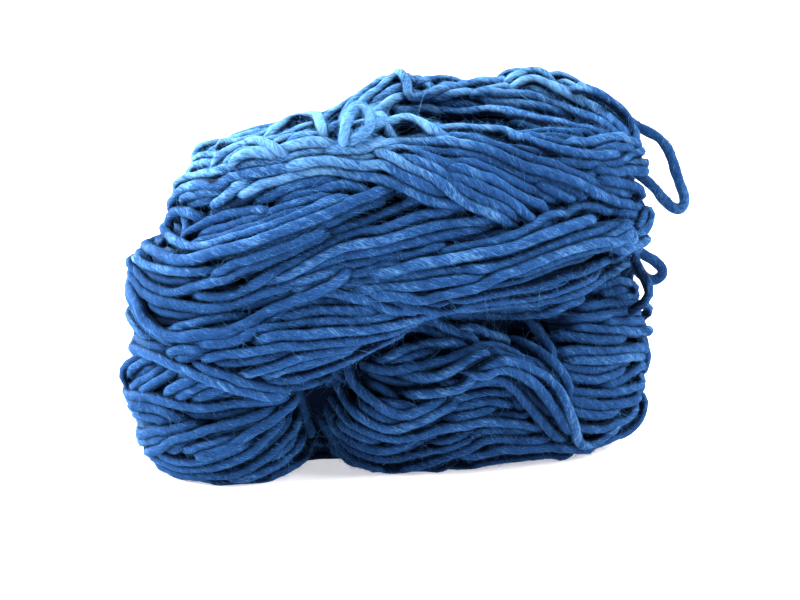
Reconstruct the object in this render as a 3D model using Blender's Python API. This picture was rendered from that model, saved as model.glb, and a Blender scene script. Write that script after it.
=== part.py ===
"""A skein of thick single-ply wool yarn, lying on its side.

The skein is one solid: the rings of turns that it was wound in and the bands that were laid across
them, closed over a packed core and flattened where they lie. Three stretches of yarn that stand off
it are tubes of their own.
Frame: +X along the skein, -Y its front, +Z up, the origin on the surface it lies on, under the
middle of its outline with the loose stretches.
"""

import math

import bmesh
import bpy
import numpy as np
from mathutils import Vector
from mathutils.bvhtree import BVHTree
from mathutils.geometry import interpolate_bezier

MM = 0.001

# Driving dimensions
YARN_DIAMETER = 4.2 * MM
CLEARANCE = 0.35 * MM  # between the skein and a loose stretch that comes out of it

# How a bundle of turns is rounded and twisted
SECTION_POWER = 2.2  # 2 is an ellipse; more is squarer
RIDGES = 6  # twisted bunches of turns round a ring's section
RIDGE_HEIGHT = 1.3 * MM
RIDGE_TWIST = 2.0  # turns of the ridges from a ring's start to its far side
SECTION_POINTS = 56
RING_POINTS = 120
BAND_POINTS = 60
LUMP_SEGMENTS = 48
LUMP_RINGS = 32

# How the bundles close into one solid
VOXEL = 4.6 * MM
SMOOTHING_ROUNDS = 4
SMOOTHING = 0.5
FLOOR_BLOCK = 1.0  # metres; larger than the skein

# The loose stretches
LOOP_SIDES = 2  # bevel resolution: 8 sides
LOOP_STEP = 0.55 * YARN_DIAMETER  # close enough for a hairpin of yarn
ROUTE_POINTS = 100  # enough to measure a route's length
ROUTE_FINENESS = 6  # points looked at for each one that a loose stretch keeps
RIM_POINTS = 12

WOOL = {"colour": (0.030, 0.150, 0.430, 1.0), "roughness": 0.9, "metallic": 0.0}

# Every table is in millimetres. What reaches below 0 is pressed flat on the surface.
# The packed inner turns. Each row is a lump: the x, y and z of its middle, then half its length,
# half its depth and half its height.
CORE = (
    (0, 0, 60, 75, 34, 44),
    (26, 4, 90, 46, 26, 18),
    (-22, 0, 86, 42, 22, 16),
    (30, 4, 24, 42, 28, 32),
    (-58, 0, 26, 20, 26, 32),
)

# The rings of turns. Each row is a place along a ring: the x, y and z of its section's middle, then
# half the section's height and half its depth. A ring starts at its front left and closes.
RINGS = {
    # over the top: the front shoulder, the right end, then the crown at the back
    "crown": (
        (-59, -6, 85, 12, 12),
        (-45, -22, 97, 12, 13),
        (-22, -27, 102, 12, 13),
        (2, -27, 103, 12, 13),
        (31, -27, 98, 13, 13),
        (58, -19, 97, 13, 13),
        (75, -2, 98, 13, 10),
        (67, 15, 105, 13, 12),
        (52, 20, 112, 13, 13),
        (30, 21, 109, 13, 13),
        (6, 22, 111, 13, 12),
        (-18, 22, 100, 12, 13),
        (-42, 20, 96, 12, 13),
        (-55, 9, 89, 12, 12),
    ),
    # the wide band that sweeps up from the left end and narrows to the right
    "sash": (
        (-76, -9, 53, 22, 10),
        (-60, -24, 53, 25, 12),
        (-38, -32, 57, 25, 13),
        (-14, -34, 65, 23, 13),
        (4, -34, 72, 17, 13),
        (27, -33, 70, 14, 13),
        (51, -27, 72, 14, 13),
        (69, -15, 76, 12, 12),
        (79, 4, 74, 15, 8),
        (66, 25, 71, 18, 12),
        (38, 33, 66, 20, 12),
        (8, 35, 62, 22, 12),
        (-22, 33, 60, 22, 12),
        (-49, 26, 58, 21, 12),
        (-69, 12, 56, 20, 12),
    ),
    # the lower right half
    "roll": (
        (-11, -18, 22, 23, 15),
        (12, -22, 23, 25, 15),
        (40, -18, 24, 26, 15),
        (65, -11, 27, 28, 14),
        (79, 6, 29, 29, 10),
        (66, 25, 27, 28, 13),
        (32, 29, 24, 26, 15),
        (2, 27, 23, 25, 14),
        (-13, 3, 22, 22, 10),
    ),
    # the lower left half
    "foot": (
        (-77, -7, 27, 25, 9),
        (-63, -23, 23, 25, 13),
        (-43, -23, 20, 23, 14),
        (-39, 0, 22, 22, 8),
        (-43, 25, 22, 24, 12),
        (-63, 25, 24, 25, 12),
        (-75, 8, 27, 25, 10),
    ),
}

# The bands laid across the rings, in the same rows. Each runs from where it comes up to where it
# goes under again.
BANDS = {
    "lap": (
        (-24, -32, 106, 6, 5),
        (-3, -38, 102, 7, 6),
        (12, -41, 96, 7, 6),
        (25, -42, 89, 7, 6),
        (36, -36, 83, 6, 5),
    ),
    "upper_sweep": (
        (-66, -26, 68, 7, 6),
        (-50, -38, 73, 9, 7),
        (-27, -42, 82, 10, 7),
        (-3, -43, 84, 9, 7),
        (20, -38, 82, 7, 6),
    ),
    "right_sweep": (
        (-14, -40, 65, 6, 6),
        (9, -45, 66, 9, 7),
        (28, -44, 71, 11, 7),
        (46, -37, 77, 12, 7),
        (61, -27, 80, 12, 7),
        (74, -10, 79, 10, 6),
    ),
    "lower_sweep": (
        (-77, -17, 49, 8, 6),
        (-64, -31, 45, 9, 7),
        (-43, -40, 46, 9, 7),
        (-21, -43, 51, 9, 7),
        (-3, -44, 58, 7, 6),
        (10, -40, 62, 5, 5),
    ),
    "knee": (
        (4, -33, 31, 5, 5),
        (18, -37, 37, 5, 5),
        (30, -37, 39, 5, 5),
        (42, -33, 30, 5, 5),
        (51, -27, 17, 5, 5),
    ),
    "back_top": (
        (64, 22, 98, 8, 6),
        (36, 33, 98, 9, 8),
        (6, 36, 94, 9, 8),
        (-24, 34, 86, 9, 8),
        (-52, 26, 78, 8, 6),
    ),
    "back_high": (
        (62, 25, 92, 7, 6),
        (32, 37, 85, 9, 7),
        (-3, 41, 76, 10, 7),
        (-38, 37, 70, 9, 7),
        (-66, 22, 66, 8, 6),
    ),
    "back_low": (
        (67, 27, 46, 8, 6),
        (34, 39, 43, 9, 7),
        (0, 42, 46, 9, 7),
        (-36, 39, 53, 8, 7),
        (-63, 24, 60, 7, 6),
    ),
}

# The loose stretches, from where each leaves the skein to where it goes in again: x, y, z along
# the middle of the yarn, with both ends inside the skein.
LOOPS = {
    "loop_right": (
        (70, 4, 109),
        (78, 2, 110),
        (84.5, 0, 107.5),
        (90, -1, 104),
        (94.2, -2, 97.6),
        (97.2, -2, 90),
        (99.4, -2, 84.5),
        (96.7, -2, 80.4),
        (92.2, -2, 84.2),
        (88.7, -2, 89.2),
        (84, -2, 94),
        (74, -2, 98),
    ),
    "loop_low": (
        (73, 0, 71),
        (80.5, -1, 67.5),
        (85.2, -2, 65.6),
        (89.6, -3, 63.8),
        (91.2, -3, 60),
        (88.6, -3, 56.8),
        (84.8, -3, 57.6),
        (80.5, -2, 61),
        (72, -1, 64),
    ),
    "curl_top": (
        (-17, -7, 98),
        (-17.6, -8, 106),
        (-16.4, -9, 113),
        (-11.5, -10, 118.2),
        (-6.6, -10, 115.4),
        (-6.2, -9, 109),
        (-9.2, -7, 104),
        (-11.5, -5, 98),
    ),
}


def smooth_closed(rows, count):
    """Points on a closed smooth curve through the rows."""
    rows = np.array(rows, float)
    at = np.linspace(0, len(rows), count, endpoint=False)
    start = np.floor(at).astype(int)
    around = (rows[(start + k) % len(rows)] for k in (-1, 0, 1, 2))
    return hermite(*around, (at - start)[:, None])


def smooth_open(rows, count):
    """Points on an open smooth curve from the first row to the last."""
    rows = np.array(rows, float)
    at = np.linspace(0, len(rows) - 1, count)
    start = np.minimum(np.floor(at).astype(int), len(rows) - 2)
    around = (rows[np.clip(start + k, 0, len(rows) - 1)] for k in (-1, 0, 1, 2))
    return hermite(*around, (at - start)[:, None])


def hermite(before, here, after, last, t):
    """The curve between here and after, whose slopes come from the rows on either side."""
    slope, next_slope = (after - before) / 2, (last - here) / 2
    return (
        (2 * t**3 - 3 * t**2 + 1) * here
        + (t**3 - 2 * t**2 + t) * slope
        + (-2 * t**3 + 3 * t**2) * after
        + (t**3 - t**2) * next_slope
    )


def sections_along(stations, along, ridge_height):
    """Rounded sections, upright and square to the way the bundle runs, with twisted ridges."""
    along = along / np.linalg.norm(along, axis=1)[:, None]
    outward = np.cross(along, (0, 0, 1))
    outward /= np.linalg.norm(outward, axis=1)[:, None]
    upward = np.cross(outward, along)
    angle = np.linspace(0, 2 * math.pi, SECTION_POINTS, endpoint=False)
    across, up = (np.sign(v) * np.abs(v) ** (2 / SECTION_POWER) for v in (np.cos(angle), np.sin(angle)))
    sections = []
    for k, station in enumerate(stations):
        twist = 2 * math.pi * RIDGE_TWIST * math.sin(math.pi * k / len(stations)) ** 2
        ridge = ridge_height * np.cos(RIDGES * angle + twist)
        tall, deep = station[3] + ridge, station[4] + ridge
        sections.append(station[:3] + np.outer(across * deep, outward[k]) + np.outer(up * tall, upward[k]))
    return sections


def add_tube(mesh, sections, closed):
    """A tube through sections of equally many points, joined end to end or capped."""
    verts = [[mesh.verts.new(p) for p in section] for section in sections]
    following = verts[1:] + verts[:1] if closed else verts[1:]
    for section, beyond in zip(verts, following):
        for k in range(len(section)):
            after = (k + 1) % len(section)
            mesh.faces.new((section[k], section[after], beyond[after], beyond[k]))
    if not closed:
        mesh.faces.new(verts[0][::-1])
        mesh.faces.new(verts[-1])


def add_ring(mesh, rows):
    stations = smooth_closed(rows, RING_POINTS) * MM
    middles = stations[:, :3]
    along = np.roll(middles, -1, axis=0) - np.roll(middles, 1, axis=0)
    add_tube(mesh, sections_along(stations, along, RIDGE_HEIGHT), closed=True)


def add_band(mesh, rows):
    stations = smooth_open(rows, BAND_POINTS) * MM
    along = np.gradient(stations[:, :3], axis=0)
    add_tube(mesh, sections_along(stations, along, 0.0), closed=False)


def add_lump(mesh, row):
    made = bmesh.ops.create_uvsphere(mesh, u_segments=LUMP_SEGMENTS, v_segments=LUMP_RINGS, radius=1.0)
    middle, half = row[:3], row[3:]
    for vert in made["verts"]:
        vert.co = [(m + h * v) * MM for m, h, v in zip(middle, half, vert.co)]


def wool_material(name):
    made = bpy.data.materials.new(name)
    made.use_nodes = True
    surface = made.node_tree.nodes["Principled BSDF"]
    surface.inputs["Base Color"].default_value = WOOL["colour"]
    surface.inputs["Roughness"].default_value = WOOL["roughness"]
    surface.inputs["Metallic"].default_value = WOOL["metallic"]
    made.diffuse_color = WOOL["colour"]
    return made


def add_helper(name, mesh):
    """An object from a bmesh that shapes the model and isn't in it."""
    data = bpy.data.meshes.new(name)
    mesh.to_mesh(data)
    mesh.free()
    obj = bpy.data.objects.new(name, data)
    obj.hide_render = True
    obj.display_type = "WIRE"
    bpy.context.scene.collection.objects.link(obj)
    return obj


def floor_cutter():
    """The block under the surface, which flattens what the skein lies on."""
    mesh = bmesh.new()
    bmesh.ops.create_cube(mesh, size=FLOOR_BLOCK)
    bmesh.ops.translate(mesh, verts=mesh.verts, vec=(0, 0, -FLOOR_BLOCK / 2))
    return add_helper("floor_cutter", mesh)


def wound_form():
    """The core, rings and bands closed into one body, and its bottom cut flat."""
    mesh = bmesh.new()
    for row in CORE:
        add_lump(mesh, row)
    for rows in RINGS.values():
        add_ring(mesh, rows)
    for rows in BANDS.values():
        add_band(mesh, rows)
    bmesh.ops.recalc_face_normals(mesh, faces=mesh.faces)
    body = add_helper("wound_form", mesh)
    closing = body.modifiers.new("close", "REMESH")
    closing.mode = "VOXEL"
    closing.voxel_size = VOXEL
    easing = body.modifiers.new("ease", "SMOOTH")
    easing.factor = SMOOTHING
    easing.iterations = SMOOTHING_ROUNDS
    cut = body.modifiers.new("rest", "BOOLEAN")
    cut.operation = "DIFFERENCE"
    cut.object = floor_cutter()
    return body


def keep_outside(data):
    """Drops the small closed pockets that closing the bundles leaves inside the body."""
    mesh = bmesh.new()
    mesh.from_mesh(data)
    left = set(mesh.verts)
    pieces = []
    while left:
        edge = [left.pop()]
        piece = list(edge)
        while edge:
            around = {e.other_vert(v) for v in edge for e in v.link_edges}
            edge = list(around & left)
            left -= around
            piece += edge
        pieces.append(piece)
    largest = max(pieces, key=len)
    inner = [v for piece in pieces if piece is not largest for v in piece]
    bmesh.ops.delete(mesh, geom=inner, context="VERTS")
    mesh.to_mesh(data)
    mesh.free()


def make_skein(wool):
    """The skein's solid, in the coordinates of the tables."""
    body = wound_form()
    bpy.context.view_layer.update()
    graph = bpy.context.evaluated_depsgraph_get()
    data = bpy.data.meshes.new_from_object(body.evaluated_get(graph))
    keep_outside(data)
    data.materials.clear()
    data.materials.append(wool)
    data.shade_smooth()
    data.name = "skein"
    skein = bpy.data.objects.new("skein", data)
    bpy.context.scene.collection.objects.link(skein)
    return skein


def rim(point, direction):
    """Points round the yarn's edge at a place along it."""
    side = direction.orthogonal().normalized()
    other = direction.cross(side).normalized()
    turns = (2 * math.pi * k / RIM_POINTS for k in range(RIM_POINTS))
    half = YARN_DIAMETER / 2
    return [point + half * (math.cos(a) * side + math.sin(a) * other) for a in turns]


def outside(point, surface):
    """How far a point is outside the skein; less than nothing inside it."""
    nearest, normal, _, distance = surface.find_nearest(point)
    return math.copysign(distance, (point - nearest).dot(normal))


def shown_stretch(line, surface):
    """The stretch of a route whose whole rim clears the skein."""
    clear = []
    for k, point in enumerate(line):
        direction = line[min(k + 1, len(line) - 1)] - line[max(k - 1, 0)]
        edge = rim(point, direction.normalized())
        clear.append(min(outside(p, surface) for p in edge) >= CLEARANCE)
    shown = [k for k, is_clear in enumerate(clear) if is_clear]
    return line[shown[0] : shown[-1] + 1]


def make_loop(name, route, surface, wool):
    """A loose stretch of yarn, ended just off the skein at both ends."""
    rough = smooth_open(route, ROUTE_POINTS) * MM
    length = np.linalg.norm(np.diff(rough, axis=0), axis=1).sum()
    fine = [Vector(p) for p in smooth_open(route, round(length / LOOP_STEP * ROUTE_FINENESS)) * MM]
    kept = shown_stretch(fine, surface)
    steps = round((len(kept) - 1) / ROUTE_FINENESS)
    picks = [kept[round(k * (len(kept) - 1) / steps)] for k in range(steps + 1)]
    curve = bpy.data.curves.new(name, "CURVE")
    curve.dimensions = "3D"
    curve.bevel_depth = YARN_DIAMETER / 2
    curve.bevel_resolution = LOOP_SIDES
    curve.use_fill_caps = True
    spline = curve.splines.new("POLY")
    spline.points.add(len(picks) - 1)
    for spot, point in zip(spline.points, picks):
        spot.co = (*point, 1.0)
    spline.use_smooth = True
    curve.materials.append(wool)
    loop = bpy.data.objects.new(name, curve)
    bpy.context.scene.collection.objects.link(loop)
    return loop


def stand_on_origin(pieces):
    """Hangs the pieces on an empty, which brings the middle of their underside to the origin."""
    bpy.context.view_layer.update()
    graph = bpy.context.evaluated_depsgraph_get()
    shapes = [piece.evaluated_get(graph).to_mesh() for piece in pieces]
    corners = np.array([vert.co for shape in shapes for vert in shape.vertices])
    low, high = corners.min(axis=0), corners.max(axis=0)
    stand = bpy.data.objects.new("stand", None)
    bpy.context.scene.collection.objects.link(stand)
    stand.location = (-(low[0] + high[0]) / 2, -(low[1] + high[1]) / 2, -low[2])
    for piece in pieces:
        piece.parent = stand


def main():
    for obj in list(bpy.data.objects):
        bpy.data.objects.remove(obj)
    wool = wool_material("blue_wool")
    skein = make_skein(wool)
    bpy.context.view_layer.update()
    surface = BVHTree.FromObject(skein, bpy.context.evaluated_depsgraph_get())
    loops = [make_loop(name, route, surface, wool) for name, route in LOOPS.items()]
    stand_on_origin([skein, *loops])


main()
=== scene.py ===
"""The looks of a skein of thick single-ply wool yarn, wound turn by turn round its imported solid.

The turns that the photograph shows are laid on the skein where they are seen. Those between them and
those at the back, ends, top and underside follow their neighbours. All of them are then pressed apart
as packed yarn is, and dressed in twisted fibres and a halo of loose ones.
"""

import math
from functools import lru_cache

import bpy
import numpy as np
from bpy.props import FloatProperty, FloatVectorProperty, IntProperty, PointerProperty
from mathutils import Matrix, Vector
from mathutils.bvhtree import BVHTree
from mathutils.kdtree import KDTree


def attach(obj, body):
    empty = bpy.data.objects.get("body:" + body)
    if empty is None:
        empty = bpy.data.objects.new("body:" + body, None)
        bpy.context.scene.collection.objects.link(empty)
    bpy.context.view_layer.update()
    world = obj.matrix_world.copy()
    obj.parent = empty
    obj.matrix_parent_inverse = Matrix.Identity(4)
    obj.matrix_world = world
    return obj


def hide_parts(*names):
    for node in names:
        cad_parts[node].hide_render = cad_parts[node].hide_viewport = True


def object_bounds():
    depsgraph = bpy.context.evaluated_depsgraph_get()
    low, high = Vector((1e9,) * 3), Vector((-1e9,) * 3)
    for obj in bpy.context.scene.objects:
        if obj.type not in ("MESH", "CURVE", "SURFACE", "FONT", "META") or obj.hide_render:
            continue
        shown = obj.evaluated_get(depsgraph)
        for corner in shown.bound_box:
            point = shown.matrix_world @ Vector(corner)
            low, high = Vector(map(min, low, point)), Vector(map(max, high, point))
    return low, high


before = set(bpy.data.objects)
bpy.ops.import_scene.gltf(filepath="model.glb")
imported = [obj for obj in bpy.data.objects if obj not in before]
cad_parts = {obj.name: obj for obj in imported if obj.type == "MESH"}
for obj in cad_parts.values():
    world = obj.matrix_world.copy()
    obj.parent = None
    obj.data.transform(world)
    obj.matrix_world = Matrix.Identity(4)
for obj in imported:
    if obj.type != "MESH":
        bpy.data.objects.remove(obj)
CAD_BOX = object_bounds()

bl_info = {
    "name": "Skein of wool yarn",
    "version": (1, 0, 0),
    "blender": (4, 5, 0),
    "location": "3D View > Sidebar > Skein",
    "description": "Winds a skein of thick single-ply wool round its packed solid",
    "category": "Object",
}

MM = 0.001
STEP = 2.0 * MM  # between the places along a turn
STAND = Vector((-0.00691, 0.001742, 0.0))  # from the routes' origin to the part's
SEED = 11

# The photograph's camera, in degrees, metres and its 800 x 600 frame.
AZIMUTH, ELEVATION, DISTANCE = -8.0, 12.0, 0.600
LENS, SENSOR = 81.8, 36.0
TARGET = Vector((-0.0033, 0.0017, 0.0513))
WIDE, HIGH = 800, 600
FOCAL = LENS / SENSOR * WIDE

# The turns that show, by region: how a turn starts, how it ends, how many turns it lies over, then its
# middle line in the photograph's frame. It may go round (r) the skein, under (u) other turns, or bend
# in (e) at a rounded end. A long row goes on in the next line, further in.
TURNS = {
    "top left": """
e u 1 195,156 199,147 208,145 214,145
u u 0 218,146 226,142 236,144 245,142 256,139 268,134 279,128 290,124 302,124 315,122
u u 1 272,133 282,125 290,121 299,119 308,117 316,117 320,122 322,130
e u 0 195,159 206,157 218,158
u u 1 220,159 225,155 236,150 248,146 256,144 265,147 276,152
u u 0 228,160 234,155 245,149 257,147
u u 0 265,144 275,142 283,140 292,134 302,129 314,126
u u 1 279,151 290,148 300,145 314,146 327,148
u u 0 300,138 314,137 326,135 335,127
u u 1 240,159 245,154 255,152 263,155
e u 0 190,169 201,164 214,164
r r 0 175,183 183,181 194,177 206,173 220,171 232,167 245,164 260,162 275,162 288,160 308,155 317,152
  335,150 354,148 370,146 386,143 400,141 414,139 428,138 445,137 461,138 478,141 495,146 508,150 522,156
  539,162 555,164 562,169 572,174 587,180 600,184 614,190 628,194
r u 0 167,206 174,197 179,193 190,190 201,186 214,187 225,181 232,175 245,175 260,172 275,168 288,166
  302,162 320,157 340,157 357,158 370,157 381,153 394,150 408,151 418,154 429,160 443,165 455,168 475,173
u u 0 182,199 190,194 199,191 207,189 220,190
e u 1 245,191 255,187 268,182 281,178 295,174 308,170 320,169 334,168 347,172 361,176 381,178 394,184
  408,188 416,195 425,200 435,203 445,205
e u 1 219,202 226,198 234,191 241,187
u u 0 265,198 275,195 288,191 302,187 315,185 329,183
u u 0 288,197 299,194 312,193 318,196 327,190 338,185 348,184 358,188 367,192
u u -1 190,203 201,199 214,199
""",
    "left eye": """
u u 1 165,224 167,217 170,213 178,209 186,211 193,215
u u 0 187,218 191,225 185,234
e u 1 165,227 171,237 178,243 190,248 203,248 214,245 234,238 255,232 275,226 295,217 308,211 327,202
  335,201
u u 0 190,234 206,222 220,216 234,213 255,211 263,213
u u 0 207,233 220,230 234,228 248,222 261,217 275,213 288,210 302,203 316,199 329,195
u u 0 201,241 214,238 228,236 241,228 255,225 268,222 281,214 295,211 312,206 329,200
r u 1 150,249 164,256 178,261 194,260 206,255 228,249 248,245 261,241 281,233 297,226 313,221 327,213
  340,206 354,201 367,198 375,194
u u 0 241,261 261,252 281,244 302,234 319,226 335,221 344,213 361,207 375,201
u u 0 216,276 229,268 243,260 256,255 270,248 283,243 300,240 320,233
r u 0 134,255 141,263 151,267 166,270 182,272 198,272 212,271 222,272 234,265
r u 0 128,260 135,271 143,282 155,291 169,295 180,292 190,288 202,284 216,282 229,276 243,270 256,264
  270,257 283,252 295,247 308,241 320,236
r u 0 127,272 135,282 145,292 155,299 169,303 182,306 196,310 209,309 223,307 236,303 250,298 263,291
  283,286 303,280 324,274
""",
    "sash": """
u u 0 340,232 346,230 359,224 373,220 386,213 400,207 413,202
u u 0 201,296 209,296 220,298 232,295 243,290 256,284 267,278 283,271 297,264 313,253 327,245 340,238
  354,234 367,232 381,232 394,226 408,220 421,215 435,212 448,209
u u 0 267,281 290,271 300,269 313,261 327,253 347,248 363,244 381,242 394,237 408,232 421,229 435,225
  448,224 461,225 482,222
u u 0 300,276 313,269 340,255 361,251 381,251 394,246 408,242 421,241 435,238 448,234 461,230 475,229
u u 0 300,281 313,276 334,271 354,265 370,263 383,260 397,259 410,255 421,253 435,249
u u 0 300,286 316,283 330,277 340,273 356,273 370,269 383,265 394,264
r u 1 132,288 136,299 141,310 146,321 155,329 166,336 182,338 202,338 220,337 233,333 247,326 260,319
  274,310 287,302 300,296 313,292 327,284 339,277
u u 0 196,344 216,342 236,338 250,333 263,326 274,318 287,309
u u -1 138,288 145,301 147,313
u u 0 173,330 189,325 206,321 223,318 243,317
u r 0 344,284 361,286 374,283 387,277 401,276 414,273 435,271 455,270 475,271 488,268 501,265 517,261
  531,256 545,249 564,240 584,233 605,232
u e 1 383,271 408,267 421,263 435,263 448,260 468,257 488,253 504,251 524,244 540,237 556,232 572,226
  586,222 590,221
u r 0 435,252 455,249 475,245 488,244 497,240 513,236 526,230 543,222 556,216 567,210 582,207 594,207
  611,210
u u 0 354,288 367,287 381,286 394,287 414,286 435,283 448,280 461,279 475,277
u r 1 386,295 397,294 408,298 421,302 435,296 448,294 461,290 475,287 483,283 501,275 517,268 531,261
  545,256 564,251 582,246 598,242 613,240 620,236
u r 0 524,272 545,264 564,257 591,249 611,244
u r 0 460,298 470,296 486,292 505,290 524,287 544,283 564,276 584,271 598,264 610,257 619,253
u u 0 381,298 394,304 408,308 428,308 441,306 461,304 482,302 505,299 524,298 544,294 564,287 580,281
  591,277
u u 0 320,290 340,294 361,299 375,303 387,308 401,311 414,314
u u 0 290,313 303,310 313,308 334,310 354,310 367,311
u r 0 448,307 468,308 488,306 510,303 531,303 551,299 564,296 580,292 594,284 607,276 618,269 629,261
u u 0 448,314 470,315 490,314 510,315 531,314 551,310 567,304 580,300
u u 0 263,330 283,327 303,323 320,322 340,319 361,316 375,315 391,314 414,315
u u 0 263,338 283,337 303,336 320,334 340,333 361,331 381,326 401,320 414,316 428,314 441,311
u u 0 209,357 223,353 243,353 263,350 283,346 303,346 324,344 340,343 361,339 381,335 394,329 408,325
u u 0 244,375 260,369 274,364 287,358 303,356 324,353 337,350 350,347
u u 0 270,376 283,369 297,364 310,360 324,356 337,352 350,349
u u 1 280,380 297,377 310,374 324,369 337,365 350,358 364,349 377,342 385,340 397,334
u u 0 270,391 283,385 303,384 317,380 330,373
u u 0 182,357 196,352 209,346 220,343
u u 0 174,352 189,348 198,348
""",
    "cross pair and fan": """
r u 1 132,348 145,352 159,357 173,364 186,369 201,375 217,380 233,385 247,389 263,392 280,393
u u 1 204,369 220,375 236,377 250,384 263,389 277,391
r u 0 123,376 128,365 138,361
r u 0 128,371 142,364 150,361
r u 0 136,387 149,377 161,369
r u 0 146,388 158,381 173,373
u u 0 169,391 180,384 190,379
u u 0 182,396 196,389 209,383
u u 0 202,396 216,389 227,385
""",
    "foot": """
r u 0 131,395 141,395 155,398 169,402 183,405 199,408 216,406 233,403 254,401 272,398 289,396
r u 0 128,406 141,406 155,409 166,412 174,416
r u 0 134,415 148,415 162,419
r u 0 138,436 148,432 162,432 176,430 188,427
r u 0 150,453 157,449 168,442 181,436 198,432 216,427 233,423 250,418 260,415
u u 0 190,449 205,446 219,442 233,439
u u 1 207,456 224,449 240,439 251,432 264,425 275,418 285,409 293,402
r u 0 161,454 169,460 183,463 199,461 213,456 230,451 244,446
r u 0 174,465 182,471 196,470 212,468 226,463 243,456 255,447 267,436 279,425
r u 0 224,474 240,473 254,464 267,456 279,444 289,433 298,423
r u 0 247,477 261,471 277,464 289,454 299,444 302,437
r u 0 282,471 293,465 305,457 309,447 308,439
u u 0 299,402 303,419 309,432 309,444
""",
    "lap and shoulder": """
u r 1 340,151 357,153 370,151 383,147 397,143 435,143 455,145 472,146 488,150 494,154 508,160 522,167
  539,171 556,176 570,180 587,187 601,194 615,201 629,207
u u 0 400,149 418,151 435,151 455,154 472,157 488,162 494,164 508,170 525,178 542,181 556,184 570,190
  579,195
u u 0 448,164 461,165 475,166 488,170 499,177 508,180 522,187 536,191 550,197
u e 1 459,172 480,178 491,178 501,187 515,195 529,202 539,205
u e 1 459,177 475,181 480,188 491,194 505,202 517,209 525,215
u u 1 400,160 414,162 428,166 441,174 455,181 464,192 478,199 491,204 505,212
u u 1 386,157 397,161 408,168 421,173 435,177 448,185 459,195 472,203 488,209 502,215
u u 1 300,165 316,161 334,160 347,162 361,164 375,164 386,161 394,166 402,174 416,180 429,186 436,189
u u 0 543,185 558,190 570,195
u e 1 607,181 621,183 635,187 646,193
""",
    "top middle": """
u u 0 346,114 361,96 375,86 389,76 400,71
u u 0 365,102 378,91 394,81 402,77
u u 0 375,103 387,95 400,87
u u 0 379,108 391,102 402,96
u u 1 398,77 404,79 408,84 408,89 405,94 404,98 411,100 421,97 432,93 445,91 459,88 472,84 488,83
u u 0 412,76 417,79 421,84 429,86
u u 0 426,83 435,80 448,79 461,83
u r 0 377,108 383,104 390,101 394,106 398,113 408,110 418,107 429,107 443,110 455,114 468,112 488,110
  508,112 522,115 543,121 559,123 576,129 590,132 601,136
u u 0 435,96 461,92 475,94 488,98 499,102 510,103 529,105 548,109 559,115
u u -1 441,102 461,102 482,104 510,107
u u 1 386,123 394,121 405,118 416,121 425,126 435,133 443,137
u u 1 379,114 383,121 382,130 391,138
""",
    "crown": """
u u 0 504,75 514,73 524,73
u u 1 515,78 526,73 536,73 543,77
u u 0 541,76 554,76 565,78 573,83 584,89
u u 0 480,81 500,82 512,85 525,86 537,90 550,96 559,101
u r 1 522,84 529,80 536,80 546,85 559,90 572,95 587,104 601,112 614,123 621,133
u r 0 565,84 579,91 593,98 607,106 621,119 629,129
u u 0 584,88 600,95 614,104 625,114 632,122
u r 0 480,94 505,94 517,94 529,94 542,99 555,105 567,109 581,114 596,119 607,126 615,135
u r 0 435,130 455,129 475,130 494,130 508,132 522,140 539,146 558,150 579,154 593,156 607,154
u r 1 576,142 586,145 597,143 608,139 620,138 628,142 634,146
u r 0 600,152 615,150 629,149
u e 0 559,163 579,164 600,164 615,162 629,154 639,147 646,147
u e 0 600,170 614,171 628,170 639,171 649,171
u r 0 629,164 642,164 653,167
u r 0 541,224 553,218 565,211 579,207 600,207
""",
    "right end": """
u r 0 605,287 618,283 629,284 637,288
u r 0 605,291 625,294 636,297
u r 0 618,296 631,295 640,296
u r 0 586,308 605,304 618,302 631,302 645,304 652,311
u r 0 582,318 598,318 615,315 629,312 641,312
u r 0 611,322 629,322 642,320
u r 0 580,327 598,330 615,330 631,333 645,331 652,330
u u 0 561,335 577,337 594,340 608,340 621,337
u r 0 566,353 585,350 601,353 621,353 639,349
u r 0 574,360 601,360 628,356 640,354
u u 0 569,375 581,379 597,380 609,376 620,369
u r 0 608,383 625,376 639,366
u r 0 561,392 581,393 601,393 619,391 635,387 643,384
u r 0 567,401 585,403 601,406 621,404 639,399
u u 0 571,408 588,414 601,414 615,410
u r 0 573,426 588,428 601,428 615,424 628,418 636,408
u r 0 597,442 615,436 628,431 639,420 643,410 643,396
u u 0 640,334 645,350 644,366
u u 1 640,220 642,210 647,206 651,213 650,222 645,229 640,232
u u 1 611,237 621,230 629,229 637,236 631,244 621,242
u e 1 626,245 636,241 645,238 650,241
u u -1 648,284 651,291 651,300
""",
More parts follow.
